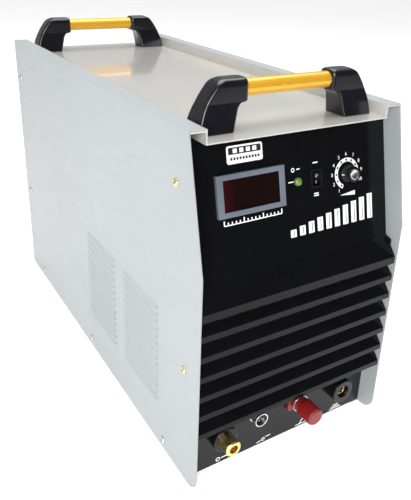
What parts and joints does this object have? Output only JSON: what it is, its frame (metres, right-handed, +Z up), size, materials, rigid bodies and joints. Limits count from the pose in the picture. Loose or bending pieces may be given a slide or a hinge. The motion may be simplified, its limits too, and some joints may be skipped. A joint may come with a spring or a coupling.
{
  "type": "plasma cutter power unit",
  "caption": "Upright air plasma cutter power unit: louvred front with controls and lead sockets, recessed top with two bar handles, fan-cooled inverter inside.",
  "frame": {"origin": "centre of the bounding box, at the floor", "axes": "+Z up, -Y out of the front with the controls, +X to the right seen from the front"},
  "size_m": [0.2948, 0.6898, 0.4805],
  "materials": {
    "side_paint": "fine texture, satin",
    "cover_paint": "smooth, semi-gloss",
    "front_black": "fine grain, satin",
    "panel_dark": "fine texture, satin",
    "zinc": "plated",
    "handle_black": "semi-gloss",
    "handle_gold": "gold anodised",
    "badge_grey": "satin",
    "bezel_grey": "satin",
    "lens_red": "gloss",
    "lamp_green": "gloss",
    "black_plastic": "satin",
    "red_plastic": "semi-gloss",
    "brass": "machined",
    "chrome": "polished",
    "alloy": "brushed",
    "board_green": "satin",
    "copper": "varnished",
    "ferrite": "matte",
    "hose_rubber": "matte"
  },
  "bodies": {
    "chassis": {"left_side_panel": "side_paint", "right_side_panel": "side_paint", "top_cover": "cover_paint", "base_plate": "zinc", "front_bezel": "front_black", "connector_panel": "panel_dark", "rear_panel": "panel_dark", "inner_shelf": "zinc", "side_screws": "zinc", "rear_screws": "zinc", "handle_bolts": "zinc", "badge_plate": "badge_grey", "meter_frame": "bezel_grey", "meter_lens": "lens_red", "meter_module": "black_plastic", "indicator_lamp": "lamp_green", "rocker_housing": "black_plastic", "potentiometer": "alloy", "potentiometer_nut": "chrome", "torch_insulator": "black_plastic", "torch_connector": "brass", "torch_nut": "brass", "control_socket_shell": "chrome", "control_socket_insert": "black_plastic", "control_socket_pins": "brass", "terminal_base": "red_plastic", "terminal_stud": "brass", "earth_socket_body": "black_plastic", "earth_socket_contact": "brass", "fan_frame": "black_plastic", "fan_guard": "chrome", "breaker_body": "black_plastic", "cable_gland": "black_plastic", "gas_inlet": "brass", "earth_stud": "brass", "heatsink": "alloy", "power_modules": "black_plastic", "power_board": "board_green", "output_rectifiers": "black_plastic", "control_board": "board_green", "transformer_core": "ferrite", "transformer_coil": "copper", "output_choke": "copper", "ignition_unit": "black_plastic", "gas_valve": "brass", "air_hose": "hose_rubber", "front_handle_left_foot": "handle_black", "front_handle_right_foot": "handle_black", "front_handle_tube": "handle_gold", "rear_handle_left_foot": "handle_black", "rear_handle_right_foot": "handle_black", "rear_handle_tube": "handle_gold"},
    "rocker": {"mode_rocker": "black_plastic"},
    "knob": {"current_knob": "black_plastic", "knob_cap": "alloy", "potentiometer_shaft": "alloy"},
    "clamp_washer": {"terminal_washer": "chrome"},
    "clamp_cap": {"terminal_cap": "red_plastic"},
    "fan": {"fan_rotor": "black_plastic"},
    "breaker_lever": {"breaker_toggle": "black_plastic"}
  },
  "joints": [
    {"name": "rocker_tilt", "type": "hinge", "parent": "chassis", "child": "rocker", "pos_m": [0.031, -0.28204, 0.35962], "axis": [1, 0, 0], "range_deg": [0, 20]},
    {"name": "knob_turn", "type": "hinge", "parent": "chassis", "child": "knob", "pos_m": [0.0795, -0.2864, 0.3585], "axis": [0, -0.9757, 0.219], "range_deg": [-150, 150]},
    {"name": "clamp_slide", "type": "slide", "parent": "chassis", "child": "clamp_washer", "axis": [0, -1, 0], "range_m": [0, 0.00375]},
    {"name": "clamp_turn", "type": "hinge", "parent": "clamp_washer", "child": "clamp_cap", "pos_m": [0.021, -0.3149, 0.0555], "axis": [0, -1, 0], "range_deg": [0, 1080]},
    {"name": "fan_spin", "type": "hinge", "parent": "chassis", "child": "fan", "pos_m": [0, 0.2994, 0.285], "axis": [0, 1, 0], "continuous": true},
    {"name": "breaker_swing", "type": "hinge", "parent": "chassis", "child": "breaker_lever", "pos_m": [-0.088, 0.3239, 0.14], "axis": [1, 0, 0], "range_deg": [0, 80]}
  ],
  "couplings": [
    {"joint": "clamp_slide", "follows": "clamp_turn", "m_per_rad": 0.00019894}
  ]
}
